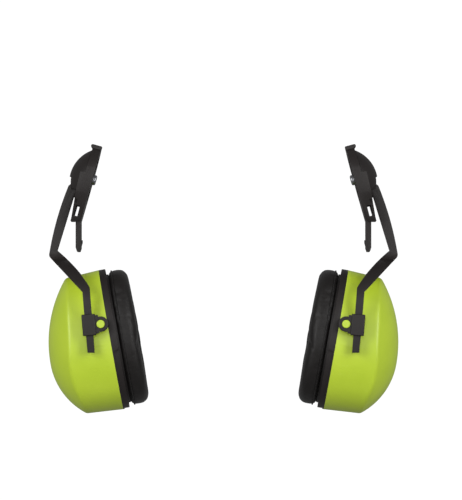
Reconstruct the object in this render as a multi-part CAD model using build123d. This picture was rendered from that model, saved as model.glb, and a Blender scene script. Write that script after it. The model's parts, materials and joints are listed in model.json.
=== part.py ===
from build123d import *
import os
from math import cos, radians, sin, sqrt, tan

# Helmet-mounted earmuffs. Millimetres, +Z up, the wearer faces -Y.
# Origin: halfway between the two helmet slots, level with their mouths.
# The wearer's left side (+X) is modelled, and the right side is its mirror image.

# Helmet adapter: a leaning hub plate with side cheeks above a vertical slot blade
plate_lean = 15.5              # the plate's top leans towards the head, degrees
pivot_x = 105.8                # swing pivot, on the plate's inner face
pivot_z = 33.7
plate_thickness = 6.8
plate_top_radius = 27.0
plate_half_width = 25.7
plate_straight_end = 12.0      # where the sides start to taper, below the pivot
plate_foot = 38.0
plate_foot_half_width = 17.0
cheek_thickness = 2.3
cheek_height = 10.8
cheek_start = -4.0             # where the plate's sides rise into cheeks, above the pivot
cheek_rise = 1.0
cheek_middle = 14.0
cheek_middle_height = 10.2
cheek_end = 23.0
cheek_end_height = 9.2
lip_start = -27.6              # the stop at the plate's top
lip_half_width = 11.0
lip_thickness = 3.0
lip_height = 8.6
lip_round = 1.4
block_start = 23.6             # the foot's box section, below the hub
block_height = 8.2
window_span = (23.6, 32.3)     # the window through the foot, along the plate
window_rise = (3.8, 6.9)
notch_span = (19.2, 22.2)      # a small recess in each cheek's outer face
notch_rise = (6.8, 8.6)
notch_depth = 1.2
finger_span = (31.0, 36.8)     # the latch finger at the foot's tip
finger_low = 6.6
finger_half_width = 8.0
back_pocket_depth = 2.6
back_pocket_radius = 19.0
back_boss_radius = 8.5
back_rib_width = 2.2
blade_x = 117.3
blade_thickness = 4.4
blade_width = 29.0
blade_depth = 24.6
blade_root = 3.0               # how far the blade reaches up into the foot
blade_taper = 1.0
blade_tip = 3.0                # length of the tapered tip
barb_step = 1.0
barb_height = 9.2
barb_land = 2.0
barb_half_width = 5.0
slit_width = 1.0
slit_margin = 5.0              # what the slits leave whole at the blade's root

# Pivot stack, heights measured outwards from the plate's inner face
screw_radius = 2.5
screw_head_radius = 4.2
screw_head_height = 2.8
screw_head_round = 1.2
socket_radius = 1.75
socket_depth = 1.6
running_gap = 0.1
wave_washer_thickness = 0.6
wave_washer_radius = 6.2
wave_recess_depth = 0.9
hub_base_radius = 18.4
hub_base_low = 6.95
hub_base_top = 9.8
hub_hole_ring = 13.5           # ring of lightening holes in the hub's floor
hub_hole_radius = 2.6
hub_hole_depth = 1.5
flat_washer_radius = 5.0
flat_washer_thickness = 1.0
nut_width = 8.0
nut_chamfer_radius = 4.45
nut_height = 3.6

# Hub cap: a truncated spherical dome with a slot for the arm's root
dome_radius = 28.0
dome_crown = 19.0
dome_wall = 1.8
cap_low = 7.1
cap_step = 11.0
cap_flat = 11.5                # the flat that cuts the dome, below the pivot
slot_half_width = 8.8
slot_top = 2.5
slot_floor = 8.5
cap_cheek_width = 4.0          # the walls beside the slot, which hold the hinge pin
cap_cheek_start = -1.0

# Arm hinge, placed in the hub's own directions
hinge_down = 8.6
hinge_out = 12.5
hinge_pin_radius = 1.25
hinge_pin_length = 23.0
knuckle_radius = 3.2
spring_thickness = 0.5
spring_width = 10.0
spring_end = 17.5

# Arm fork, in the X-Z view, then in the Y-Z view
arm_root_outer = (125.4, 28.7)
arm_bow_outer = (134.8, 1.5)
elbow_outer = (141.3, -28.5)
elbow_inner = (134.5, -23.7)
crown_bow_inner = (122.7, -34.6)
knee_outer = (113.2, -58.3)
knee_inner = (107.3, -54.6)
arm_root_inner = (121.1, 20.4)
elbow_round = 4.0
prong_lean = 4.7               # the prongs' tips lean towards the head, degrees
prong_width = 5.8
prong_end = -107.0
stem_half_width = 8.2
prong_inside = 45.0
prong_outside = 49.0
crown_z = -69.0                # where the prongs turn into the crown's arch
crown_inner_rise = 36.0
crown_outer_rise = 38.6
crown_fillet = 8.0

# Slider blocks that carry the cup on the prongs
slider_z = -84.7
slider_width = 10.8
slider_height = 17.2
slider_inside = 43.6
slider_outside = 51.2
slider_corner = 1.2
slider_edge_round = 0.7
slide_gap = 0.2
web_width = 2.2
stud_x = 98.5
stud_z = -84.0
stud_radius = 3.3
stud_reach = 50.6
stud_root = 40.6               # the stud's inner end, inside the cup's wall
stud_socket_gap = 0.05
lug_radius = 6.2
lug_inside = 44.4
lug_outside = 49.6

# Cup, in its own frame: width along Y, height along the border, depth outwards
cup_lean = 10.1                # the cup's top leans away from the head, degrees
cup_x = 91.0
cup_z = -95.85
cup_half_width = 43.0
cup_half_height = 57.2
cup_end_radius = 38.0
cup_draft = 3.5
cup_depth = 51.8
crown_peak = -11.0             # where the face stands proudest, along the height
crown_margin = 3.0             # how far the crowned face is drawn past the walls
crown_radius_up = 103.5
crown_radius_down = 55.8
crown_radius_across = 56.0
ridge_round = 5.0
shell_wall = 2.6

# Base plate, liner and cushion, depths measured from the cup's border
rim_depth = 5.2
rim_wall = 3.2
rim_relief = 0.7
rim_relief_top = -10.3         # the relief ends at this height of the cup
rim_relief_depth = 1.0
web_depth = 2.4
spigot_height = 3.5
spigot_root = 0.5
spigot_inset = 3.1
spigot_wall = 1.8
ear_opening_inset = 21.0
liner_low = 4.2
liner_inset = 3.2
liner_wall = 7.5
ring_inset = 4.6
ring_depth = 7.0
ring_gap = 0.8                 # between the base plate's web and the backing ring
snap_step = 0.8
snap_depth = 1.2
cushion_inset = 2.0
cushion_depth = 23.2
cushion_width = 21.5
cushion_outer_round = 7.0
cushion_inner_round = 5.0
sheath_wall = 1.0
sheath_lip = 2.0
foam_gap = 0.05
big = 200.0                    # larger than any piece, for cutting

hub_down = (sin(radians(plate_lean)), 0, -cos(radians(plate_lean)))
hub_out = (cos(radians(plate_lean)), 0, sin(radians(plate_lean)))
hub_frame = Plane(origin=(pivot_x, 0, pivot_z), x_dir=hub_down, z_dir=hub_out).location
cup_out = (cos(radians(cup_lean)), 0, -sin(radians(cup_lean)))
cup_frame = Plane(origin=(cup_x, 0, cup_z), x_dir=(0, 1, 0), z_dir=cup_out).location


def span(low, high, half_width):
    """A box from one corner to another in X and Z, centred on Y."""
    size = (high[0] - low[0], 2 * half_width, high[1] - low[1])
    middle = ((high[0] + low[0]) / 2, 0, (high[1] + low[1]) / 2)
    return Pos(*middle) * Box(*size)


def disc(radius, low, high):
    """A disc about Z between two heights."""
    return Pos(0, 0, low) * Cylinder(radius, high - low, align=(Align.CENTER, Align.CENTER, Align.MIN))


def pin(radius, place, low, high):
    """A round bar along Y through a point of the X-Z view."""
    bar = Rot(90, 0, 0) * Cylinder(radius, high - low)
    return Pos(place[0], (high + low) / 2, place[1]) * bar


def side_prism(face, half_width):
    """A face drawn in X and Z, thickened both ways along Y."""
    return extrude(Plane.XZ.location * face, half_width, both=True)


# Helmet adapter

def plate_outline():
    """The hub plate seen along its normal: X down the plate, Y across it."""
    shoulder = sqrt(plate_top_radius ** 2 - plate_half_width ** 2)
    left_shoulder = (-shoulder, -plate_half_width)
    right_shoulder = (-shoulder, plate_half_width)
    crown = ThreePointArc(left_shoulder, (-plate_top_radius, 0), right_shoulder)
    sides = Polyline(
        right_shoulder,
        (plate_straight_end, plate_half_width),
        (plate_foot, plate_foot_half_width),
        (plate_foot, -plate_foot_half_width),
        (plate_straight_end, -plate_half_width),
        left_shoulder,
    )
    return make_face([*crown.edges(), *sides.edges()])


def adapter_cheeks(outline):
    """Flat flanges along both edges of the plate, beside the hub."""
    ring = outline - offset(outline, -cheek_thickness)
    profile = make_face(Polyline(
        (cheek_start, 0),
        (cheek_start, plate_thickness),
        (cheek_start + cheek_rise, cheek_height),
        (cheek_middle, cheek_middle_height),
        (cheek_end, cheek_end_height),
        (plate_foot - 4, block_height),
        (plate_foot, block_height - 1),
        (plate_foot, 0),
        (cheek_start, 0),
    ))
    return extrude(ring, cheek_height) & side_prism(profile, big / 2)


def back_pockets():
    """Moulding pockets behind the plate, round the screw boss and between four ribs."""
    ring = disc(back_pocket_radius, 0, back_pocket_depth) - disc(back_boss_radius, 0, back_pocket_depth)
    for turn in (45, 135):
        ring -= Rot(0, 0, turn) * Box(big, back_rib_width, 3 * back_pocket_depth)
    return ring


def slot_blade():
    """The vertical blade for the helmet's slot, with a sprung barb between two slits."""
    inner = blade_x - blade_thickness / 2
    outer = blade_x + blade_thickness / 2
    profile = make_face(Polyline(
        (inner, blade_root),
        (outer, blade_root),
        (outer, blade_tip - blade_depth),
        (outer - blade_taper, -blade_depth),
        (inner + blade_taper, -blade_depth),
        (inner, blade_tip - blade_depth),
        (inner, blade_root),
    ))
    barb = make_face(Polyline(
        (inner + blade_taper, barb_height - blade_depth),
        (inner - barb_step, barb_height - blade_depth),
        (inner - barb_step, barb_height - barb_land - blade_depth),
        (inner + blade_taper, -blade_depth),
        (inner + blade_taper, barb_height - blade_depth),
    ))
    blade = side_prism(profile, blade_width / 2)
    for side in (-1, 1):
        slit = Box(3 * blade_thickness, slit_width, blade_depth - slit_margin)
        across = side * (barb_half_width + slit_width / 2)
        blade -= Pos(blade_x, across, -(blade_depth + slit_margin) / 2) * slit
    return blade + side_prism(barb, barb_half_width)


def helmet_adapter():
    outline = plate_outline()
    body = extrude(outline, plate_thickness) + adapter_cheeks(outline)
    foot = extrude(outline, block_height) & span((block_start, 0), (plate_foot, big), big)
    lip = span((lip_start, 0), (lip_start + lip_thickness, lip_height), lip_half_width)
    lip = fillet(lip.edges().filter_by(Axis.Y).group_by(Axis.Z)[-1], lip_round)
    body += foot + lip
    body -= disc(screw_radius + running_gap, -1, big)
    body -= disc(wave_washer_radius + 0.3, plate_thickness - wave_recess_depth, big)
    body -= back_pockets()
    body -= span((window_span[0], window_rise[0]), (window_span[1], window_rise[1]), big)
    edge = extrude(outline - offset(outline, -notch_depth), big)
    body -= edge & span((notch_span[0], notch_rise[0]), (notch_span[1], notch_rise[1]), big)
    body = hub_frame * body & Pos(pivot_x, 0, big / 2) * Box(big, big, big)
    finger = span((finger_span[0], finger_low), (finger_span[1], block_height + 0.1), finger_half_width)
    return body + slot_blade() + hub_frame * finger


# Pivot stack

def pivot_screw():
    nut_top = hub_base_top + flat_washer_thickness + nut_height
    head = disc(screw_head_radius, -screw_head_height, 0)
    head = fillet(head.edges().group_by(Axis.Z)[0], screw_head_round)
    socket = Pos(0, 0, -screw_head_height) * extrude(RegularPolygon(socket_radius, 6), socket_depth)
    return hub_frame * (head + disc(screw_radius, -0.5, nut_top + 0.6) - socket)


def wave_washer():
    low = plate_thickness - wave_recess_depth + 0.1
    washer = disc(wave_washer_radius, low, low + wave_washer_thickness)
    return hub_frame * (washer - disc(screw_radius + 0.4, 0, big))


def flat_washer():
    washer = disc(flat_washer_radius, hub_base_top + 0.02, hub_base_top + flat_washer_thickness)
    return hub_frame * (washer - disc(screw_radius + 0.15, 0, big))


def lock_nut():
    low = hub_base_top + flat_washer_thickness
    hexagon = extrude(RegularPolygon(nut_width / 2, 6, major_radius=False), nut_height)
    nut = Pos(0, 0, low) * hexagon & disc(nut_chamfer_radius, low, low + nut_height)
    return hub_frame * (nut - disc(screw_radius, 0, big))


# Hub

def hub_base():
    base = disc(hub_base_radius, hub_base_low, hub_base_top)
    base -= disc(screw_radius + running_gap, 0, big)
    base -= span((flat_washer_radius + 0.3, slot_floor), (big, big), slot_half_width)
    for turn in range(60, 301, 40):
        hole = Pos(hub_hole_ring, 0, hub_base_top) * Cylinder(hub_hole_radius, 2 * hub_hole_depth)
        base -= Rot(0, 0, turn) * hole
    return hub_frame * base


def hub_cap():
    centre = dome_crown - dome_radius
    dome = Pos(0, 0, centre) * Sphere(dome_radius) & disc(big, cap_low, big)
    hollow = Pos(0, 0, centre) * Sphere(dome_radius - dome_wall) & disc(big, hub_base_top, big)
    hollow &= span((-big, 0), (cap_flat - dome_wall, big), big)
    cheeks = span((cap_cheek_start, 0), (cap_flat, big), slot_half_width + cap_cheek_width)
    hollow -= cheeks - span((cap_cheek_start, 0), (cap_flat, big), slot_half_width)
    cap = dome - hollow - disc(hub_base_radius + 0.15, 0, hub_base_top)
    cap -= span((cap_flat, cap_step), (big, big), big)
    cap -= span((slot_top, slot_floor), (big, big), slot_half_width)
    cap -= pin(hinge_pin_radius, (hinge_down, hinge_out), -hinge_pin_length / 2, hinge_pin_length / 2)
    return hub_frame * cap


def hinge_place():
    """The arm hinge's axis as a point of the world X-Z view."""
    x = pivot_x + hinge_down * hub_down[0] + hinge_out * hub_out[0]
    z = pivot_z + hinge_down * hub_down[2] + hinge_out * hub_out[2]
    return (x, z)


def arm_hinge_pin():
    half = hinge_pin_length / 2
    return hub_frame * pin(hinge_pin_radius, (hinge_down, hinge_out), -half, half)


def arm_leaf_spring():
    """A flat leaf on the hub's floor that bears on the arm's root."""
    low = (flat_washer_radius + 0.6, slot_floor)
    high = (spring_end, slot_floor + spring_thickness)
    return hub_frame * span(low, high, spring_width / 2)


# Arm fork

def prong_place(z):
    """The prongs' centre line in the X-Z view at a height."""
    start_x = (knee_outer[0] + knee_inner[0]) / 2
    start_z = (knee_outer[1] + knee_inner[1]) / 2
    return (start_x - (start_z - z) * tan(radians(prong_lean)), z)


def arm_side_outline():
    """The fork in the X-Z view: bowed stem, elbow, crown and straight prongs."""
    tip = prong_place(prong_end)
    half = prong_width / 2
    tip_outer = (tip[0] + half, prong_end)
    tip_inner = (tip[0] - half, prong_end)
    lines = [
        ThreePointArc(arm_root_outer, arm_bow_outer, elbow_outer),
        Polyline(elbow_outer, knee_outer, tip_outer, tip_inner, knee_inner),
        ThreePointArc(knee_inner, crown_bow_inner, elbow_inner),
        Polyline(elbow_inner, arm_root_inner, arm_root_outer),
    ]
    outline = make_face([edge for line in lines for edge in line.edges()])
    corner = outline.vertices().sort_by_distance((*elbow_outer, 0))[0]
    return fillet(corner, elbow_round)


def arch(half_width, rise):
    """Two straight legs under an elliptical arch, in the Y-Z view."""
    reach = big
    legs = Pos(0, crown_z - reach / 2) * Rectangle(2 * half_width, reach)
    return legs + Pos(0, crown_z) * Ellipse(half_width, rise)


def arm_front_outline():
    """The fork in the Y-Z view: a stem that widens into an arch over the cup."""
    stem = Pos(0, crown_z + big / 2) * Rectangle(2 * stem_half_width, big)
    outline = arch(prong_outside, crown_outer_rise) + stem
    joins = outline.vertices().filter_by(lambda v: abs(abs(v.X) - stem_half_width) < 0.1 and v.Y < 0)
    outline = fillet(joins, crown_fillet)
    return outline - arch(prong_inside, crown_inner_rise)


def arm_fork():
    side = side_prism(arm_side_outline(), big / 2)
    front = extrude(Plane.YZ.location * arm_front_outline(), big)
    fork = side & front
    hinge = hinge_place()
    neck = make_hull([
        *(Pos(*hinge) * Circle(knuckle_radius)).edges(),
        *Polyline(arm_root_outer, arm_root_inner).edges(),
    ])
    fork += side_prism(neck, stem_half_width)
    return fork - pin(hinge_pin_radius + running_gap, hinge, -big / 2, big / 2)


# Sliders

def slider(side):
    """One slider block with its lug; side is -1 in front of the cup and 1 behind it."""
    middle = prong_place(slider_z)
    width = slider_outside - slider_inside
    block = Box(slider_width, width, slider_height)
    block = fillet(block.edges().filter_by(Axis.Z), slider_corner)
    ends = block.edges().group_by(Axis.Z)
    block = fillet(ends[0] + ends[-1], slider_edge_round)
    web_x = -(slider_width + web_width) / 2
    lug_width = lug_outside - lug_inside
    lug_shift = (lug_inside + lug_outside) / 2 - (slider_inside + slider_outside) / 2
    block += Pos(web_x, lug_shift, 0) * Box(web_width + 0.4, lug_width, slider_height - 2.4)
    prong = Box(prong_width + 2 * slide_gap, prong_outside - prong_inside + 2 * slide_gap, 2 * slider_height)
    prong_shift = (prong_inside + prong_outside) / 2 - (slider_inside + slider_outside) / 2
    tilt = Rot(0, prong_lean, 0)
    place = Pos(middle[0], (slider_inside + slider_outside) / 2, middle[1])
    lug = pin(lug_radius, (stud_x, stud_z), lug_inside, lug_outside)
    bridge_x = (stud_x + middle[0] - slider_width / 2) / 2
    bridge_size = (middle[0] - slider_width / 2 - stud_x, lug_width, 2 * lug_radius - 2)
    lug += Pos(bridge_x, (lug_inside + lug_outside) / 2, stud_z) * Box(*bridge_size)
    body = place * tilt * block + lug
    body -= place * tilt * Pos(0, prong_shift, 0) * prong
    body -= pin(stud_radius + running_gap, (stud_x, stud_z), 0, big)
    return body if side > 0 else mirror(body, about=Plane.XZ)


# Cup

def oval(inset):
    """The cup's plan, made of four tangent arcs, drawn in by an inset."""
    half_width = cup_half_width - inset
    half_height = cup_half_height - inset
    end_radius = cup_end_radius - inset
    rise = half_height - end_radius
    side_radius = (half_width ** 2 + rise ** 2 - end_radius ** 2) / (2 * (half_width - end_radius))
    reach = side_radius - half_width
    slope = sqrt(reach ** 2 + rise ** 2)
    join_x = end_radius * reach / slope
    join_y = rise + end_radius * rise / slope
    arcs = [
        ThreePointArc((join_x, join_y), (0, half_height), (-join_x, join_y)),
        ThreePointArc((-join_x, join_y), (-half_width, 0), (-join_x, -join_y)),
        ThreePointArc((-join_x, -join_y), (0, -half_height), (join_x, -join_y)),
        ThreePointArc((join_x, -join_y), (half_width, 0), (join_x, join_y)),
    ]
    return make_face([edge for arc in arcs for edge in arc.edges()])


def oval_band(inset, wall, low, high):
    """An oval ring between two depths."""
    return Pos(0, 0, low) * extrude(oval(inset) - oval(inset + wall), high - low)


def crown_wedge(radius, across, side, reach):
    """Half of the crowned face: an arc across the cup, turned about a far axis."""
    axis_z = cup_depth - radius
    half = cup_half_width + crown_margin - reach
    across_radius = across - reach
    drop = across_radius - sqrt(across_radius ** 2 - half ** 2)
    top = cup_depth - reach
    low = max(axis_z + 0.4, -10)       # clear of the axis, and below the cup's border
    arc = ThreePointArc((-half, top - drop), (0, top), (half, top - drop))
    base = Polyline((half, top - drop), (half, low), (-half, low), (-half, top - drop))
    face = make_face([*arc.edges(), *base.edges()])
    section = Pos(0, crown_peak, 0) * Plane.XZ.location * face
    turn = -side * (90 if axis_z > -10 else 62)
    axis = Axis((0, crown_peak, axis_z), (1, 0, 0))
    return revolve(section, axis, turn)


def cup_body(inset):
    """The cup's solid form, drawn in by an inset on its walls and its crown."""
    height = cup_depth + crown_margin
    draft = height * tan(radians(cup_draft))
    wall = loft([oval(inset), Pos(0, 0, height) * oval(inset + draft)], ruled=True)
    crown = crown_wedge(crown_radius_up, crown_radius_across, 1, inset)
    crown += crown_wedge(crown_radius_down, crown_radius_across, -1, inset)
    return wall & crown


def stud_place():
    """The pivot studs' axis in the cup's frame: height along the border, then depth."""
    step_x = stud_x - cup_x
    step_z = stud_z - cup_z
    along = step_x * sin(radians(cup_lean)) + step_z * cos(radians(cup_lean))
    out = step_x * cos(radians(cup_lean)) - step_z * sin(radians(cup_lean))
    return Pos(0, along, out)


def cup_stud(side, gap=0.0):
    """A pivot stud set into the cup's wall; side is -1 in front of the cup and 1 behind it."""
    stud = disc(stud_radius + gap, stud_root - gap, stud_reach)
    if not gap:
        stud = fillet(stud.edges().group_by(Axis.Z)[-1], slider_edge_round)
    return cup_frame * stud_place() * Rot(0, 90 * side, 0) * stud


def cup_shell():
    outside = cup_body(0)
    walls = outside.faces().filter_by(lambda f: abs(f.normal_at().Z) < 0.2)
    crown = outside.faces().filter_by(lambda f: f.normal_at().Z > 0.2)
    ridge = [e for wall in walls for e in wall.edges() if any(e in face.edges() for face in crown)]
    outside = fillet(ridge, ridge_round)
    shell = cup_frame * (outside - cup_body(shell_wall))
    return shell - cup_stud(-1, stud_socket_gap) - cup_stud(1, stud_socket_gap)


def cup_base_plate():
    """The black rim that closes the cup and carries the cushion."""
    plate = oval_band(0, rim_wall, -rim_depth, 0)
    plate += oval_band(0, ear_opening_inset + cushion_inset, -web_depth, 0)
    plate += oval_band(spigot_inset, spigot_wall, -spigot_root, spigot_height)
    relief = oval_band(0, rim_relief, -rim_depth, -rim_relief_depth)
    relief &= Pos(0, rim_relief_top - big / 2, 0) * Box(big, big, big)
    return cup_frame * (plate - relief)


def foam_liner():
    """The acoustic foam that lines the cup."""
    lid = Pos(0, 0, liner_low) * extrude(oval(0), cup_depth)
    return cup_frame * ((cup_body(liner_inset) - cup_body(liner_inset + liner_wall)) & lid)


def cushion_ring():
    """The stiff backing ring that snaps the cushion into the base plate."""
    wall = cushion_inset + cushion_width - ring_inset
    top = -web_depth - ring_gap
    ring = oval_band(ring_inset, wall, -ring_depth, top)
    snap = oval_band(ring_inset - snap_step, 2 * snap_step, top - snap_depth, top)
    return cup_frame * (ring + snap)


def cushion_form(shrink):
    """The cushion's rounded ring, drawn in all round by a shrink."""
    inset = cushion_inset + shrink
    ring = oval_band(inset, cushion_width - 2 * shrink, -cushion_depth + shrink, -ring_depth)
    front = ring.faces().sort_by(Axis.Z)[0]
    ring = fillet(front.outer_wire().edges(), cushion_outer_round - shrink)
    front = ring.faces().sort_by(Axis.Z)[0]
    return fillet(front.inner_wires()[0].edges(), cushion_inner_round - shrink)


def cushion_core(gap):
    """The foam ring inside the cushion's sheath, with its neck at the back."""
    low = ring_depth + sheath_lip + gap
    core = cushion_form(sheath_wall + gap) & Pos(0, 0, -low - big / 2) * Box(big, big, big)
    neck_inset = ring_inset + sheath_wall + gap
    neck_wall = cushion_inset + cushion_width - sheath_wall - neck_inset - gap
    return core + oval_band(neck_inset, neck_wall, -low - sheath_lip, -ring_depth)


def ear_cushion():
    return cup_frame * (cushion_form(0) - cushion_core(0))


def cushion_foam():
    return cup_frame * cushion_core(foam_gap)


def left_side():
    """Every piece of the wearer's left side, by name."""
    return {
        "helmet_adapter": helmet_adapter(),
        "pivot_screw": pivot_screw(),
        "wave_washer": wave_washer(),
        "flat_washer": flat_washer(),
        "lock_nut": lock_nut(),
        "hub_base": hub_base(),
        "hub_cap": hub_cap(),
        "arm_hinge_pin": arm_hinge_pin(),
        "arm_leaf_spring": arm_leaf_spring(),
        "arm_fork": arm_fork(),
        "front_slider": slider(-1),
        "rear_slider": slider(1),
        "cup_shell": cup_shell(),
        "front_cup_stud": cup_stud(-1),
        "rear_cup_stud": cup_stud(1),
        "cup_base_plate": cup_base_plate(),
        "foam_liner": foam_liner(),
        "cushion_ring": cushion_ring(),
        "ear_cushion": ear_cushion(),
        "cushion_foam": cushion_foam(),
    }


os.makedirs("parts", exist_ok=True)
for name, piece in left_side().items():
    export_step(piece, f"parts/left_{name}.step")
    export_step(mirror(piece, about=Plane.YZ), f"parts/right_{name}.step")
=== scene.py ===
import json
import math
import bmesh
import bpy
import numpy as np
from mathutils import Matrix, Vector, noise


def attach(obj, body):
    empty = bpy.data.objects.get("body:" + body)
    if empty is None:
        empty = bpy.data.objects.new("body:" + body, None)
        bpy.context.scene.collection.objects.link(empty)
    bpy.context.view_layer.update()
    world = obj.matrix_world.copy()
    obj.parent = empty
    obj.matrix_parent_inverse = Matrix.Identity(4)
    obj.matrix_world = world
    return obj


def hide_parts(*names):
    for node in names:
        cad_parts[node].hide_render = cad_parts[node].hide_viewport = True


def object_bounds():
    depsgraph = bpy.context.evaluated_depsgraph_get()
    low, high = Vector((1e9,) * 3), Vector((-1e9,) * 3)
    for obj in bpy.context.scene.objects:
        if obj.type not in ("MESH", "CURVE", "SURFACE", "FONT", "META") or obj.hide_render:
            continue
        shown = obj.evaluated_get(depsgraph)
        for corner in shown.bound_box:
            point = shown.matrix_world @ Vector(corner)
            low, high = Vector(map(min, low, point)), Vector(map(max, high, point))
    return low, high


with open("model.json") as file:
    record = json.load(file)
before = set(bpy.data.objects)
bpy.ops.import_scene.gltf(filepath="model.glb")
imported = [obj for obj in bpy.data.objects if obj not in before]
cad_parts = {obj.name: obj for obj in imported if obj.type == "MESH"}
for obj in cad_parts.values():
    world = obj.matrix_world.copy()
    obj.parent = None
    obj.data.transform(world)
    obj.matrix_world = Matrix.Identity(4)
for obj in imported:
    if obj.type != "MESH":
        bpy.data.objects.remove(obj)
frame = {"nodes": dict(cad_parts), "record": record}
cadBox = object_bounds()
print("stage: frame loaded,", len(frame["nodes"]), "CAD nodes")

scene = bpy.context.scene
mm = 0.001
tiny = 1e-9                        # keeps a length that is divided by off zero
sides = {"left": 1, "right": -1}   # the wearer's sides; the right one mirrors the left


def linearFromHex(code):
    # sRGB hex to the linear colour that shaders take
    parts = [int(code[i:i + 2], 16) / 255 for i in (1, 3, 5)]
    return [p / 12.92 if p <= 0.04045 else ((p + 0.055) / 1.055) ** 2.4 for p in parts] + [1.0]


def addNode(tree, kind, settings=None, links=None):
    # one node, its settings or input values by name, and the sockets that feed it
    node = tree.nodes.new(kind)
    for name, value in (settings or {}).items():
        if isinstance(name, str) and hasattr(node, name):
            setattr(node, name, value)
        else:
            node.inputs[name].default_value = value
    for name, source in (links or {}).items():
        tree.links.new(source, node.inputs[name])
    return node


def newMaterial(name, colour, roughness, metallic=0.0, ior=1.5):
    material = bpy.data.materials.new(name)
    material.use_nodes = True
    tree = material.node_tree
    shader = tree.nodes["Principled BSDF"]
    shader.inputs["Base Color"].default_value = linearFromHex(colour)
    shader.inputs["Roughness"].default_value = roughness
    shader.inputs["Metallic"].default_value = metallic
    shader.inputs["IOR"].default_value = ior
    return material, tree, shader


def dress(piece, material):
    piece.data.materials.clear()
    piece.data.materials.append(material)


def newPiece(name, mesh):
    piece = bpy.data.objects.new(name, mesh)
    scene.collection.objects.link(piece)
    return piece


def applyModifiers(piece):
    # swaps the piece's mesh for its evaluated result, and drops the modifiers
    graph = bpy.context.evaluated_depsgraph_get()
    mesh = bpy.data.meshes.new_from_object(piece.evaluated_get(graph))
    piece.modifiers.clear()
    piece.data = mesh


def shadeSmooth(mesh):
    mesh.polygons.foreach_set("use_smooth", [True] * len(mesh.polygons))


def meshFrom(name, points, faces):
    mesh = bpy.data.meshes.new(name)
    mesh.from_pydata([tuple(p) for p in points], [], faces)
    mesh.update()
    shadeSmooth(mesh)
    return mesh


def faceOutwards(mesh):
    work = bmesh.new()
    work.from_mesh(mesh)
    bmesh.ops.recalc_face_normals(work, faces=work.faces)
    work.to_mesh(mesh)
    work.free()
    return mesh


# the cup's plan and lean, which the cushions and their seams follow
cupSeat = {
    "centre": (91.0, -95.85),   # X and Z of the middle of the cup's border, mm
    "lean": 10.1,               # the cup's top leans outwards, degrees
    "halfWidth": 43.0,
    "halfHeight": 57.2,
    "endRadius": 38.0,
}


def cupPoint(side, across, up, out):
    # a point given across, up and out of the cup, in mm, as a place in the frame
    lean = math.radians(cupSeat["lean"])
    x = cupSeat["centre"][0] + up * math.sin(lean) + out * math.cos(lean)
    z = cupSeat["centre"][1] + up * math.cos(lean) - out * math.sin(lean)
    return Vector((sides[side] * x, across, z)) * mm


def ovalOutline(count):
    # evenly spaced points of the cup's plan and their outward directions, from four tangent arcs
    halfWidth, halfHeight, endRadius = (cupSeat[k] for k in ("halfWidth", "halfHeight", "endRadius"))
    rise = halfHeight - endRadius
    sideRadius = (halfWidth ** 2 + rise ** 2 - endRadius ** 2) / (2 * (halfWidth - endRadius))
    reach = sideRadius - halfWidth
    sideTurn = math.atan2(rise, reach)       # half the angle that each long side takes
    arcs = [
        ((-reach, 0.0), sideRadius, -sideTurn, sideTurn),
        ((0.0, rise), endRadius, sideTurn, math.pi - sideTurn),
        ((reach, 0.0), sideRadius, math.pi - sideTurn, math.pi + sideTurn),
        ((0.0, -rise), endRadius, math.pi + sideTurn, 2 * math.pi - sideTurn),
    ]
    lengths = [radius * (end - start) for _, radius, start, end in arcs]
    points = []
    for i in range(count):
        along = i / count * sum(lengths)
        arc = 0
        while along > lengths[arc]:
            along -= lengths[arc]
            arc += 1
        centre, radius, start, _ = arcs[arc]
        turn = start + along / radius
        direction = (math.cos(turn), math.sin(turn))
        points.append(((centre[0] + radius * direction[0], centre[1] + radius * direction[1]), direction))
    return points


def wallPoint(side, place, direction, inset, out):
    # the point that is inset from a point of the cup's plan, mm
    return cupPoint(side, place[0] - direction[0] * inset, place[1] - direction[1] * inset, out)


def sweepRound(name, side, section, count):
    # a closed ring: each section point is (inset from the cup's plan, depth out of the border), mm
    points = []
    for place, direction in ovalOutline(count):
        for inset, out in section:
            points.append(wallPoint(side, place, direction, inset, out))
    n = len(section)
    faces = []
    for i in range(count):
        for j in range(n):
            a, b = i * n, (i + 1) % count * n
            faces.append((a + j, b + j, b + (j + 1) % n, a + (j + 1) % n))
    return faceOutwards(meshFrom(name, points, faces))


mixA, mixB, mixOut = 6, 7, 2     # a colour mix's two inputs and its output

# materials; the sizes in their dictionaries are in mm

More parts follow.
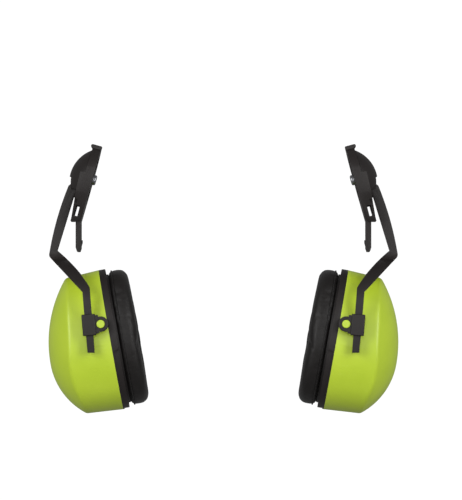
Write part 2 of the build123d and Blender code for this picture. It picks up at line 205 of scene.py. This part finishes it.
def satinMouldedAbs():
    # injection-moulded ABS from a satin tool: even lime green, soft highlights, faint flow and rub marks
    look = {
        "colour": "#BAD235", "deep": "#B3CC2F", "scuff": "#C9DB64",
        "roughness": (0.34, 0.46), "flow": 26.0, "peel": 0.9, "peelHeight": 0.012, "rub": 3.0,
        "rubStretch": (0.25, 1.0, 1.0), "rubTurn": (0.4, 0.3, 0.9), "edgeShare": 0.5,
    }
    material, tree, shader = newMaterial("satin moulded ABS", look["colour"], 0.4, ior=1.53)
    place = addNode(tree, "ShaderNodeTexCoord").outputs["Object"]
    flow = addNode(tree, "ShaderNodeTexNoise", {"Scale": 1000 / look["flow"], "Detail": 3.0},
                   {"Vector": place})
    peel = addNode(tree, "ShaderNodeTexNoise", {"Scale": 1000 / look["peel"], "Detail": 2.0},
                   {"Vector": place})
    stretch = addNode(tree, "ShaderNodeMapping",
                      {"Scale": look["rubStretch"], "Rotation": look["rubTurn"]},
                      {"Vector": place})
    rub = addNode(tree, "ShaderNodeTexNoise",
                  {"Scale": 1000 / look["rub"], "Detail": 6.0, "Roughness": 0.7},
                  {"Vector": stretch.outputs["Vector"]})
    rubMask = addNode(tree, "ShaderNodeMapRange", {"From Min": 0.62, "From Max": 0.8, "To Max": 0.35},
                      {"Value": rub.outputs["Fac"]})
    flowMask = addNode(tree, "ShaderNodeMapRange", {"From Min": 0.35, "From Max": 0.7},
                       {"Value": flow.outputs["Fac"]})
    body = addNode(tree, "ShaderNodeMix", {"data_type": "RGBA", mixA: linearFromHex(look["colour"]),
                                           mixB: linearFromHex(look["deep"])},
                   {"Factor": flowMask.outputs["Result"]})
    edge = addNode(tree, "ShaderNodeAttribute", {"attribute_name": "edgeWear"})
    worn = addNode(tree, "ShaderNodeMath", {"operation": "MULTIPLY", 1: look["edgeShare"]},
                   {0: edge.outputs["Fac"]})
    both = addNode(tree, "ShaderNodeMath", {"operation": "MAXIMUM"},
                   {0: rubMask.outputs["Result"], 1: worn.outputs["Value"]})
    colour = addNode(tree, "ShaderNodeMix", {"data_type": "RGBA", mixB: linearFromHex(look["scuff"])},
                     {"Factor": both.outputs["Value"], mixA: body.outputs[mixOut]})
    tree.links.new(colour.outputs[mixOut], shader.inputs["Base Color"])
    rough = addNode(tree, "ShaderNodeMapRange",
                    {"To Min": look["roughness"][0], "To Max": look["roughness"][1]},
                    {"Value": rub.outputs["Fac"]})
    tree.links.new(rough.outputs["Result"], shader.inputs["Roughness"])
    bump = addNode(tree, "ShaderNodeBump", {"Strength": 0.35, "Distance": look["peelHeight"] * mm},
                   {"Height": peel.outputs["Fac"]})
    tree.links.new(bump.outputs["Normal"], shader.inputs["Normal"])
    return material


def sparkErodedNylon():
    # glass-filled nylon from a spark-eroded tool: charcoal, finely pitted, greyer where edges are rubbed
    look = {
        "colour": "#191413", "pale": "#1D1817", "worn": "#423B39",
        "gloss": 0.36, "roughness": (0.46, 0.58),
        "cloud": 18.0, "pit": 0.7, "pitHeight": 0.03, "rub": 2.2,
    }
    material, tree, shader = newMaterial("spark-eroded nylon", look["colour"], 0.5, ior=1.53)
    shader.inputs["Specular IOR Level"].default_value = look["gloss"]
    place = addNode(tree, "ShaderNodeTexCoord").outputs["Object"]
    cloud = addNode(tree, "ShaderNodeTexNoise", {"Scale": 1000 / look["cloud"], "Detail": 4.0},
                    {"Vector": place})
    pit = addNode(tree, "ShaderNodeTexNoise",
                  {"Scale": 1000 / look["pit"], "Detail": 2.0, "Roughness": 0.6},
                  {"Vector": place})
    rub = addNode(tree, "ShaderNodeTexNoise", {"Scale": 1000 / look["rub"], "Detail": 5.0},
                  {"Vector": place})
    body = addNode(tree, "ShaderNodeMix", {"data_type": "RGBA", mixA: linearFromHex(look["colour"]),
                                           mixB: linearFromHex(look["pale"])},
                   {"Factor": cloud.outputs["Fac"]})
    edge = addNode(tree, "ShaderNodeAttribute", {"attribute_name": "edgeWear"})
    rubMask = addNode(tree, "ShaderNodeMapRange", {"From Min": 0.4, "From Max": 0.7},
                      {"Value": rub.outputs["Fac"]})
    worn = addNode(tree, "ShaderNodeMath", {"operation": "MULTIPLY"},
                   {0: edge.outputs["Fac"], 1: rubMask.outputs["Result"]})
    colour = addNode(tree, "ShaderNodeMix", {"data_type": "RGBA", mixB: linearFromHex(look["worn"])},
                     {"Factor": worn.outputs["Value"], mixA: body.outputs[mixOut]})
    tree.links.new(colour.outputs[mixOut], shader.inputs["Base Color"])
    rough = addNode(tree, "ShaderNodeMapRange",
                    {"To Min": look["roughness"][0], "To Max": look["roughness"][1]},
                    {"Value": rub.outputs["Fac"]})
    tree.links.new(rough.outputs["Result"], shader.inputs["Roughness"])
    bump = addNode(tree, "ShaderNodeBump", {"Strength": 0.5, "Distance": look["pitHeight"] * mm},
                   {"Height": pit.outputs["Fac"]})
    tree.links.new(bump.outputs["Normal"], shader.inputs["Normal"])
    return material


def weldedPvcFoil():
    # soft PVC foil over foam: near black, skin-like fine creases and a low oily sheen
    look = {
        "colour": "#100D0C", "dust": "#191514", "roughness": (0.48, 0.6), "gloss": 0.32,
        "grain": 1.1, "grainHeight": 0.05, "crease": 7.0, "creaseHeight": 0.18,
    }
    material, tree, shader = newMaterial("welded PVC foil", look["colour"], 0.38, ior=1.52)
    shader.inputs["Specular IOR Level"].default_value = look["gloss"]
    shader.inputs["Sheen Weight"].default_value = 0.05
    shader.inputs["Sheen Roughness"].default_value = 0.4
    place = addNode(tree, "ShaderNodeTexCoord").outputs["Object"]
    grain = addNode(tree, "ShaderNodeTexVoronoi",
                    {"feature": "DISTANCE_TO_EDGE", "Scale": 1000 / look["grain"]},
                    {"Vector": place})
    grainHeight = addNode(tree, "ShaderNodeMapRange", {"From Max": 0.25},
                          {"Value": grain.outputs["Distance"]})
    crease = addNode(tree, "ShaderNodeTexNoise",
                     {"Scale": 1000 / look["crease"], "Detail": 4.0, "Distortion": 1.2},
                     {"Vector": place})
    dustMask = addNode(tree, "ShaderNodeMapRange", {"From Min": 0.5, "From Max": 0.75, "To Max": 0.5},
                       {"Value": crease.outputs["Fac"]})
    colour = addNode(tree, "ShaderNodeMix", {"data_type": "RGBA", mixA: linearFromHex(look["colour"]),
                                             mixB: linearFromHex(look["dust"])},
                     {"Factor": dustMask.outputs["Result"]})
    tree.links.new(colour.outputs[mixOut], shader.inputs["Base Color"])
    rough = addNode(tree, "ShaderNodeMapRange",
                    {"To Min": look["roughness"][0], "To Max": look["roughness"][1]},
                    {"Value": crease.outputs["Fac"]})
    tree.links.new(rough.outputs["Result"], shader.inputs["Roughness"])
    coarse = addNode(tree, "ShaderNodeBump", {"Strength": 0.4, "Distance": look["creaseHeight"] * mm},
                     {"Height": crease.outputs["Fac"]})
    fine = addNode(tree, "ShaderNodeBump", {"Strength": 0.4, "Distance": look["grainHeight"] * mm},
                   {"Height": grainHeight.outputs["Result"], "Normal": coarse.outputs["Normal"]})
    tree.links.new(fine.outputs["Normal"], shader.inputs["Normal"])
    return material


def openCellFoam():
    # cut polyurethane foam: grey, dry, with open pores whose pits are painted dark as shade
    look = {"colour": "#55565A", "pore": "#1F2022", "pale": "#6C6D70", "cell": 1.3, "poreHeight": 0.5,
            "clouds": 120.0}     # clouds of paler foam in a metre
    material, tree, shader = newMaterial("open-cell foam", look["colour"], 0.95, ior=1.45)
    shader.inputs["Sheen Weight"].default_value = 0.3
    shader.inputs["Sheen Roughness"].default_value = 0.6
    place = addNode(tree, "ShaderNodeTexCoord").outputs["Object"]
    cell = addNode(tree, "ShaderNodeTexVoronoi", {"Scale": 1000 / look["cell"]}, {"Vector": place})
    cloud = addNode(tree, "ShaderNodeTexNoise", {"Scale": look["clouds"], "Detail": 4.0},
                    {"Vector": place})
    body = addNode(tree, "ShaderNodeMix", {"data_type": "RGBA", mixA: linearFromHex(look["colour"]),
                                           mixB: linearFromHex(look["pale"])},
                   {"Factor": cloud.outputs["Fac"]})
    # painted shade: the pore colour darkens the middle of each cell, the pits of the bump, where shade
    # falls
    pore = addNode(tree, "ShaderNodeMapRange",
                   {"From Min": 0.12, "From Max": 0.45, "To Min": 1.0, "To Max": 0.0},
                   {"Value": cell.outputs["Distance"]})
    colour = addNode(tree, "ShaderNodeMix", {"data_type": "RGBA", mixB: linearFromHex(look["pore"])},
                     {"Factor": pore.outputs["Result"], mixA: body.outputs[mixOut]})
    tree.links.new(colour.outputs[mixOut], shader.inputs["Base Color"])
    bump = addNode(tree, "ShaderNodeBump", {"Strength": 0.9, "Distance": look["poreHeight"] * mm},
                   {"Height": cell.outputs["Distance"]})
    tree.links.new(bump.outputs["Normal"], shader.inputs["Normal"])
    return material


def zincPlatedSteel():
    # bright zinc on turned steel: bluish grey, fine lathe rings, cloudy passivation
    look = {"colour": "#A9ABAD", "cloudy": "#8D8F95", "roughness": (0.26, 0.42), "cloud": 2.5,
            "lathe": 0.25, "latheHeight": 0.01}
    material, tree, shader = newMaterial("zinc-plated steel", look["colour"], 0.32, metallic=1.0)
    place = addNode(tree, "ShaderNodeTexCoord").outputs["Object"]
    cloud = addNode(tree, "ShaderNodeTexNoise", {"Scale": 1000 / look["cloud"], "Detail": 4.0},
                    {"Vector": place})
    colour = addNode(tree, "ShaderNodeMix", {"data_type": "RGBA", mixA: linearFromHex(look["colour"]),
                                             mixB: linearFromHex(look["cloudy"])},
                     {"Factor": cloud.outputs["Fac"]})
    tree.links.new(colour.outputs[mixOut], shader.inputs["Base Color"])
    rough = addNode(tree, "ShaderNodeMapRange",
                    {"To Min": look["roughness"][0], "To Max": look["roughness"][1]},
                    {"Value": cloud.outputs["Fac"]})
    tree.links.new(rough.outputs["Result"], shader.inputs["Roughness"])
    lathe = addNode(tree, "ShaderNodeTexNoise", {"Scale": 1000 / look["lathe"], "Detail": 1.0},
                    {"Vector": place})
    bump = addNode(tree, "ShaderNodeBump", {"Strength": 0.2, "Distance": look["latheHeight"] * mm},
                   {"Height": lathe.outputs["Fac"]})
    tree.links.new(bump.outputs["Normal"], shader.inputs["Normal"])
    return material


def rolledSpringSteel():
    # hardened strip: dark blue-grey with long rolling lines
    look = {"colour": "#5B6068", "line": "#777C84", "rolling": 0.5, "drawnOut": (0.05, 1.0, 0.05)}
    material, tree, shader = newMaterial("rolled spring steel", look["colour"], 0.34, metallic=1.0)
    place = addNode(tree, "ShaderNodeTexCoord").outputs["Object"]
    stretch = addNode(tree, "ShaderNodeMapping", {"Scale": look["drawnOut"]}, {"Vector": place})
    line = addNode(tree, "ShaderNodeTexNoise", {"Scale": 1000 / look["rolling"], "Detail": 2.0},
                   {"Vector": stretch.outputs["Vector"]})
    colour = addNode(tree, "ShaderNodeMix", {"data_type": "RGBA", mixA: linearFromHex(look["colour"]),
                                             mixB: linearFromHex(look["line"])},
                     {"Factor": line.outputs["Fac"]})
    tree.links.new(colour.outputs[mixOut], shader.inputs["Base Color"])
    return material


cupAbs = satinMouldedAbs()
blackNylon = sparkErodedNylon()
cushionFoil = weldedPvcFoil()
linerFoam = openCellFoam()
zincSteel = zincPlatedSteel()
springSteel = rolledSpringSteel()
print("stage: materials made")


# moulded pieces: the CAD forms with their edges rounded as a tool leaves them, by round mm
mouldings = {
    "helmet_adapter": {"round": 0.45, "segments": 3, "material": blackNylon, "slot": "black_plastic"},
    "hub_cap": {"round": 0.5, "segments": 3, "material": blackNylon, "slot": "black_plastic"},
    "hub_base": {"round": 0.3, "segments": 2, "material": blackNylon, "slot": "black_plastic"},
    "arm_fork": {"round": 0.9, "segments": 4, "material": blackNylon, "slot": "black_plastic"},
    "front_slider": {"round": 0.4, "segments": 3, "material": blackNylon, "slot": "black_plastic"},
    "rear_slider": {"round": 0.4, "segments": 3, "material": blackNylon, "slot": "black_plastic"},
    "cup_shell": {"round": 0.35, "segments": 3, "material": cupAbs, "slot": "green_plastic"},
    "cup_base_plate": {"round": 0.5, "segments": 3, "material": blackNylon, "slot": "black_plastic"},
    "cushion_ring": {"round": 0.3, "segments": 2, "material": blackNylon, "slot": "black_plastic"},
}

rounding = {
    "merge": 0.004,            # points this close are one, mm
    "flat": 0.6,               # faces that turn less than this are one, degrees
    "sharp": 32.0,             # edges that turn more than this are rounded, degrees
    "rubbed": (9.0, 20.0),     # turns where rubbing starts and is full, degrees
    "strip": 0.75,             # rubbed faces are narrower than this part of the rounding
}


def edgeWear(mesh, width):
    # 1 along the middle of outward edges, where faces are narrower than width, for the paler rubbed edges
    start, full = rounding["rubbed"]
    work = bmesh.new()
    work.from_mesh(mesh)
    values = []
    for vertex in work.verts:
        narrow = all(f.calc_area() < width * max(e.calc_length() for e in f.edges)
                     for f in vertex.link_faces)
        turn = max((e.calc_face_angle_signed(0.0) for e in vertex.link_edges), default=0.0)
        wear = (math.degrees(turn) - start) / (full - start)
        values.append(min(1.0, max(0.0, wear)) if narrow else 0.0)
    work.free()
    mesh.attributes.new("edgeWear", "FLOAT", "POINT").data.foreach_set("value", values)


def roundMoulding(node, name, spec):
    mesh = frame["nodes"][node].data.copy()
    work = bmesh.new()
    work.from_mesh(mesh)
    bmesh.ops.remove_doubles(work, verts=work.verts, dist=rounding["merge"] * mm)
    flat = math.radians(rounding["flat"])
    bmesh.ops.dissolve_limit(work, angle_limit=flat, verts=work.verts, edges=work.edges)
    work.to_mesh(mesh)
    work.free()
    shadeSmooth(mesh)
    piece = newPiece(name, mesh)
    bevel = piece.modifiers.new("edge", "BEVEL")
    bevel.width = spec["round"] * mm
    bevel.segments = spec["segments"]
    bevel.limit_method = "ANGLE"
    bevel.angle_limit = math.radians(rounding["sharp"])
    applyModifiers(piece)
    edgeWear(piece.data, rounding["strip"] * spec["round"] * mm)
    return piece


def camelName(side, node):
    words = node.split("_")
    return side + "".join(w.capitalize() for w in words)


bodyOf = {name: body for body, names in frame["record"]["behaviour"]["bodies"].items() for name in names}
for side in sides:
    for part, spec in mouldings.items():
        node = f"{side}_{part}"
        piece = roundMoulding(node, camelName(side, part), spec)
        dress(piece, spec["material"])
        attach(piece, bodyOf[node])
        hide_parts(node)
print("stage: mouldings rounded")


# pieces that keep their CAD form
hardware = {
    "pivot_screw": zincSteel,
    "wave_washer": zincSteel,
    "flat_washer": zincSteel,
    "lock_nut": zincSteel,
    "arm_hinge_pin": zincSteel,
    "arm_leaf_spring": springSteel,
    "front_cup_stud": cupAbs,
    "rear_cup_stud": cupAbs,
}
for side in sides:
    for part, material in hardware.items():
        dress(frame["nodes"][f"{side}_{part}"], material)


# ear cushions: foil over foam, swept round the cup's plan and filled out
cushion = {
    "stations": 176,
    "middle": (12.6, -14.6),     # inset and depth of the section's middle, mm
    "half": (9.9, 8.0),          # before it is inflated
    "frontPower": 2.3,           # 2 is an ellipse, and more is squarer
    "backPower": 5.0,
    "sectionPoints": 40,
    "voxel": 2.0,
    "pressure": 4.0,
    "slack": -0.012,             # the foil is cut this much larger than its foam
    "frames": 20,
    "swell": 2.2,                # the most that a point may move, mm
    "heldDepth": -8.2,           # the foil is welded to its ring behind this depth
    "fill": 0.75,
}


def cushionSection():
    points = []
    for i in range(cushion["sectionPoints"]):
        turn = 2 * math.pi * i / cushion["sectionPoints"]
        c, s = math.cos(turn), math.sin(turn)
        power = 2 / (cushion["backPower"] if s > 0 else cushion["frontPower"])
        inset = cushion["middle"][0] + cushion["half"][0] * math.copysign(abs(c) ** power, c)
        out = cushion["middle"][1] + cushion["half"][1] * math.copysign(abs(s) ** power, s)
        points.append((inset, out))
    return points


def inflate(piece, held):
    # remeshes the pad and lets cloth pressure fill it out, with its welded back held
    remesh = piece.modifiers.new("remesh", "REMESH")
    remesh.mode = "VOXEL"
    remesh.voxel_size = cushion["voxel"] * mm
    remesh.use_smooth_shade = True
    applyModifiers(piece)
    start = np.array([v.co for v in piece.data.vertices])
    group = piece.vertex_groups.new(name="held")
    group.add([v.index for v in piece.data.vertices if held(v.co)], 1.0, "REPLACE")
    cloth = piece.modifiers.new("cloth", "CLOTH")
    cloth.settings.effector_weights.gravity = 0.0
    cloth.settings.use_pressure = True
    cloth.settings.uniform_pressure_force = cushion["pressure"]
    cloth.settings.shrink_min = cushion["slack"]
    cloth.settings.vertex_group_mass = "held"
    cloth.point_cache.frame_start = 1
    cloth.point_cache.frame_end = cushion["frames"]
    for step in range(1, cushion["frames"] + 1):
        scene.frame_set(step)
    applyModifiers(piece)
    scene.frame_set(1)
    moved = np.array([v.co for v in piece.data.vertices]) - start
    reach = np.linalg.norm(moved, axis=1, keepdims=True)
    moved *= np.minimum(1.0, cushion["swell"] * mm / np.maximum(reach, tiny))
    piece.data.vertices.foreach_set("co", (start + moved).ravel())
    piece.vertex_groups.clear()


def makeCushion(side):
    mesh = sweepRound(f"{side}EarCushion", side, cushionSection(), cushion["stations"])
    piece = newPiece(f"{side}EarCushion", mesh)
    lean = math.radians(cupSeat["lean"])
    outward = Vector((sides[side] * math.cos(lean), 0, -math.sin(lean)))
    middle = cupPoint(side, 0, 0, 0)

    def held(point):
        return (point - middle).dot(outward) > cushion["heldDepth"] * mm

    inflate(piece, held)
    fine = piece.modifiers.new("fine", "SUBSURF")
    fine.levels = fine.render_levels = 1
    applyModifiers(piece)
    shadeSmooth(piece.data)
    return piece


for side in sides:
    piece = makeCushion(side)
    dress(piece, cushionFoil)
    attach(piece, f"{side}_cup")
    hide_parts(f"{side}_ear_cushion", f"{side}_cushion_foam")
print("stage: cushions filled")


# the foil's welded seam: a ribbed bead round the back of each cushion
seam = {
    "place": (2.45, -9.7),     # inset and depth of the bead on the cushion's wall, mm
    "stations": 96,
    "bead": 0.45,              # the bead's radius
    "sides": 10,
    "rib": 0.62,               # radius of the ribs that the welding tool leaves
    "ribPitch": 2.4,
    "ribFlat": 0.45,           # a rib's length along the bead, as part of its width
}


def seamTree(material):
    # a bead along the path, with a flattened rib at each step
    tree = bpy.data.node_groups.new("welded seam", "GeometryNodeTree")
    tree.interface.new_socket("Path", in_out="INPUT", socket_type="NodeSocketGeometry")
    sockets = {}
    for name in ("bead", "rib", "ribPitch", "ribFlat"):
        socket = tree.interface.new_socket(name, in_out="INPUT", socket_type="NodeSocketFloat")
        sockets[name] = socket.identifier
    tree.interface.new_socket("Seam", in_out="OUTPUT", socket_type="NodeSocketGeometry")
    given = addNode(tree, "NodeGroupInput").outputs
    path = addNode(tree, "GeometryNodeMeshToCurve", links={"Mesh": given["Path"]})
    steps = addNode(tree, "GeometryNodeResampleCurve", {"mode": "LENGTH"},
                    {"Curve": path.outputs["Curve"], "Length": given["ribPitch"]})
    ring = addNode(tree, "GeometryNodeCurvePrimitiveCircle", {"Resolution": seam["sides"]},
                   {"Radius": given["bead"]})
    bead = addNode(tree, "GeometryNodeCurveToMesh", links={"Curve": path.outputs["Curve"],
                                                           "Profile Curve": ring.outputs["Curve"]})
    rib = addNode(tree, "GeometryNodeMeshIcoSphere", {"Subdivisions": 2}, {"Radius": given["rib"]})
    along = addNode(tree, "GeometryNodeInputTangent")
    turn = addNode(tree, "FunctionNodeAlignRotationToVector", {"axis": "Z"},
                   {"Vector": along.outputs["Tangent"]})
    shape = addNode(tree, "ShaderNodeCombineXYZ", {"X": 1.0, "Y": 1.0}, {"Z": given["ribFlat"]})
    ribs = addNode(tree, "GeometryNodeInstanceOnPoints",
                   links={"Points": steps.outputs["Curve"], "Instance": rib.outputs["Mesh"],
                          "Rotation": turn.outputs["Rotation"], "Scale": shape.outputs["Vector"]})
    both = addNode(tree, "GeometryNodeJoinGeometry", links={"Geometry": bead.outputs["Mesh"]})
    tree.links.new(ribs.outputs["Instances"], both.inputs["Geometry"])
    real = addNode(tree, "GeometryNodeRealizeInstances", links={"Geometry": both.outputs["Geometry"]})
    coated = addNode(tree, "GeometryNodeSetMaterial", {"Material": material},
                     {"Geometry": real.outputs["Geometry"]})
    addNode(tree, "NodeGroupOutput", links={"Seam": coated.outputs["Geometry"]})
    return tree, sockets


def makeSeam(side, tree, sockets):
    points = [wallPoint(side, place, direction, *seam["place"])
              for place, direction in ovalOutline(seam["stations"])]
    mesh = bpy.data.meshes.new(f"{side}CushionSeam")
    mesh.from_pydata(points, [(i, (i + 1) % len(points)) for i in range(len(points))], [])
    piece = newPiece(f"{side}CushionSeam", mesh)
    weld = piece.modifiers.new("seam", "NODES")
    weld.node_group = tree
    for name, socket in sockets.items():
        weld[socket] = seam[name] if name == "ribFlat" else seam[name] * mm
    applyModifiers(piece)
    faceOutwards(piece.data)
    shadeSmooth(piece.data)
    return piece


tree, sockets = seamTree(cushionFoil)
for side in sides:
    piece = makeSeam(side, tree, sockets)
    dress(piece, cushionFoil)
    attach(piece, f"{side}_cup")
print("stage: seams welded")


# acoustic foam in the cups
liner = {"voxel": 2.0, "lump": 14.0, "height": 0.7, "sink": 0.6}     # the lumps lie mostly inwards
for side in sides:
    node = f"{side}_foam_liner"
    piece = newPiece(f"{side}FoamLiner", frame["nodes"][node].data.copy())
    remesh = piece.modifiers.new("remesh", "REMESH")
    remesh.mode = "VOXEL"
    remesh.voxel_size = liner["voxel"] * mm
    remesh.use_smooth_shade = True
    applyModifiers(piece)
    normals = [v.normal.copy() for v in piece.data.vertices]
    for vertex, normal in zip(piece.data.vertices, normals):
        place = Vector((abs(vertex.co.x), vertex.co.y, vertex.co.z)) / (liner["lump"] * mm)
        vertex.co += normal * (noise.noise(place) - liner["sink"]) * liner["height"] * mm
    dress(piece, linerFoam)
    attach(piece, f"{side}_cup")
    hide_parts(node)
print("stage: foam liners made")


studio = {
    "floorDrop": 600.0,       # the floor's depth below the cups, mm
    "floorRadius": 30000.0,
    "floorSides": 96,
    "paper": "#F0EEEA",
    "paperGlow": 0.62,        # the floor is lit through from below, so it stays pale all over
    "air": 0.27,              # light that comes evenly from all round
    "seenAir": 1.05,          # how bright the room looks
    "softBox": (0.9, 1.3),    # metres
    "boxPlace": (1.5, -1.55, 0.5),
    "boxPower": 27.0,
    "fillPlace": (0.0, -2.4, 0.2),
    "fillPower": 9.0,
}


def softBox(name, place, power):
    light = bpy.data.lights.new(name, "AREA")
    light.shape = "RECTANGLE"
    light.size, light.size_y = studio["softBox"]
    light.energy = power
    lamp = bpy.data.objects.new(name, light)
    scene.collection.objects.link(lamp)
    lamp.location = place
    middle = Vector(((cadBox[0][i] + cadBox[1][i]) / 2 for i in range(3)))
    lamp.rotation_euler = (middle - lamp.location).to_track_quat("-Z", "Y").to_euler()


boxX, boxY, boxZ = studio["boxPlace"]
for side, sign in sides.items():
    softBox(f"{side}SoftBox", (sign * boxX, boxY, boxZ), studio["boxPower"])
softBox("fillBox", studio["fillPlace"], studio["fillPower"])

paper, _, paperShader = newMaterial("floor paper", studio["paper"], 0.9)
floorMesh = bpy.data.meshes.new("floor")
work = bmesh.new()
bmesh.ops.create_circle(work, cap_ends=True, segments=studio["floorSides"],
                        radius=studio["floorRadius"] * mm)
work.to_mesh(floorMesh)
work.free()
floor = newPiece("floor", floorMesh)
floor.location.z = cadBox[0][2] - studio["floorDrop"] * mm
dress(floor, paper)
paperShader.inputs["Emission Color"].default_value = linearFromHex(studio["paper"])
paperShader.inputs["Emission Strength"].default_value = studio["paperGlow"]
floor.visible_diffuse = floor.visible_glossy = False      # its glow stays off the object

# the room is white where the camera sees it, and dimmer as a light
world = bpy.data.worlds.new("studio air")
world.use_nodes = True
worldTree = world.node_tree
air = worldTree.nodes["Background"]
air.inputs["Color"].default_value = (1, 1, 1, 1)
seen = addNode(worldTree, "ShaderNodeLightPath").outputs["Is Camera Ray"]
strength = addNode(worldTree, "ShaderNodeMapRange",
                   {"To Min": studio["air"], "To Max": studio["seenAir"]}, {"Value": seen})
worldTree.links.new(strength.outputs["Result"], air.inputs["Strength"])
scene.world = world
scene.view_settings.view_transform = "Standard"

view = {
    "distance": 5.0,           # metres from the object's middle plane, through a long lens
    "height": -0.163,          # level of the lens, which looks up a little
    "aim": (0.0061, -0.0232),  # X and Z of the frame's centre
    "takesIn": 405.0,          # height of the object's plane that fills the frame, mm
    "reach": 50.0,             # how far the camera sees, metres
}
lens = bpy.data.cameras.new("camera")
camera = bpy.data.objects.new("camera", lens)
scene.collection.objects.link(camera)
camera.location = (view["aim"][0], -view["distance"], view["height"])
target = Vector((view["aim"][0], 0, view["aim"][1]))
camera.rotation_euler = (target - camera.location).to_track_quat("-Z", "Y").to_euler()
lens.lens = lens.sensor_width * view["distance"] / (view["takesIn"] * mm)
lens.clip_end = view["reach"]
scene.camera = camera
print("stage: studio and camera set")
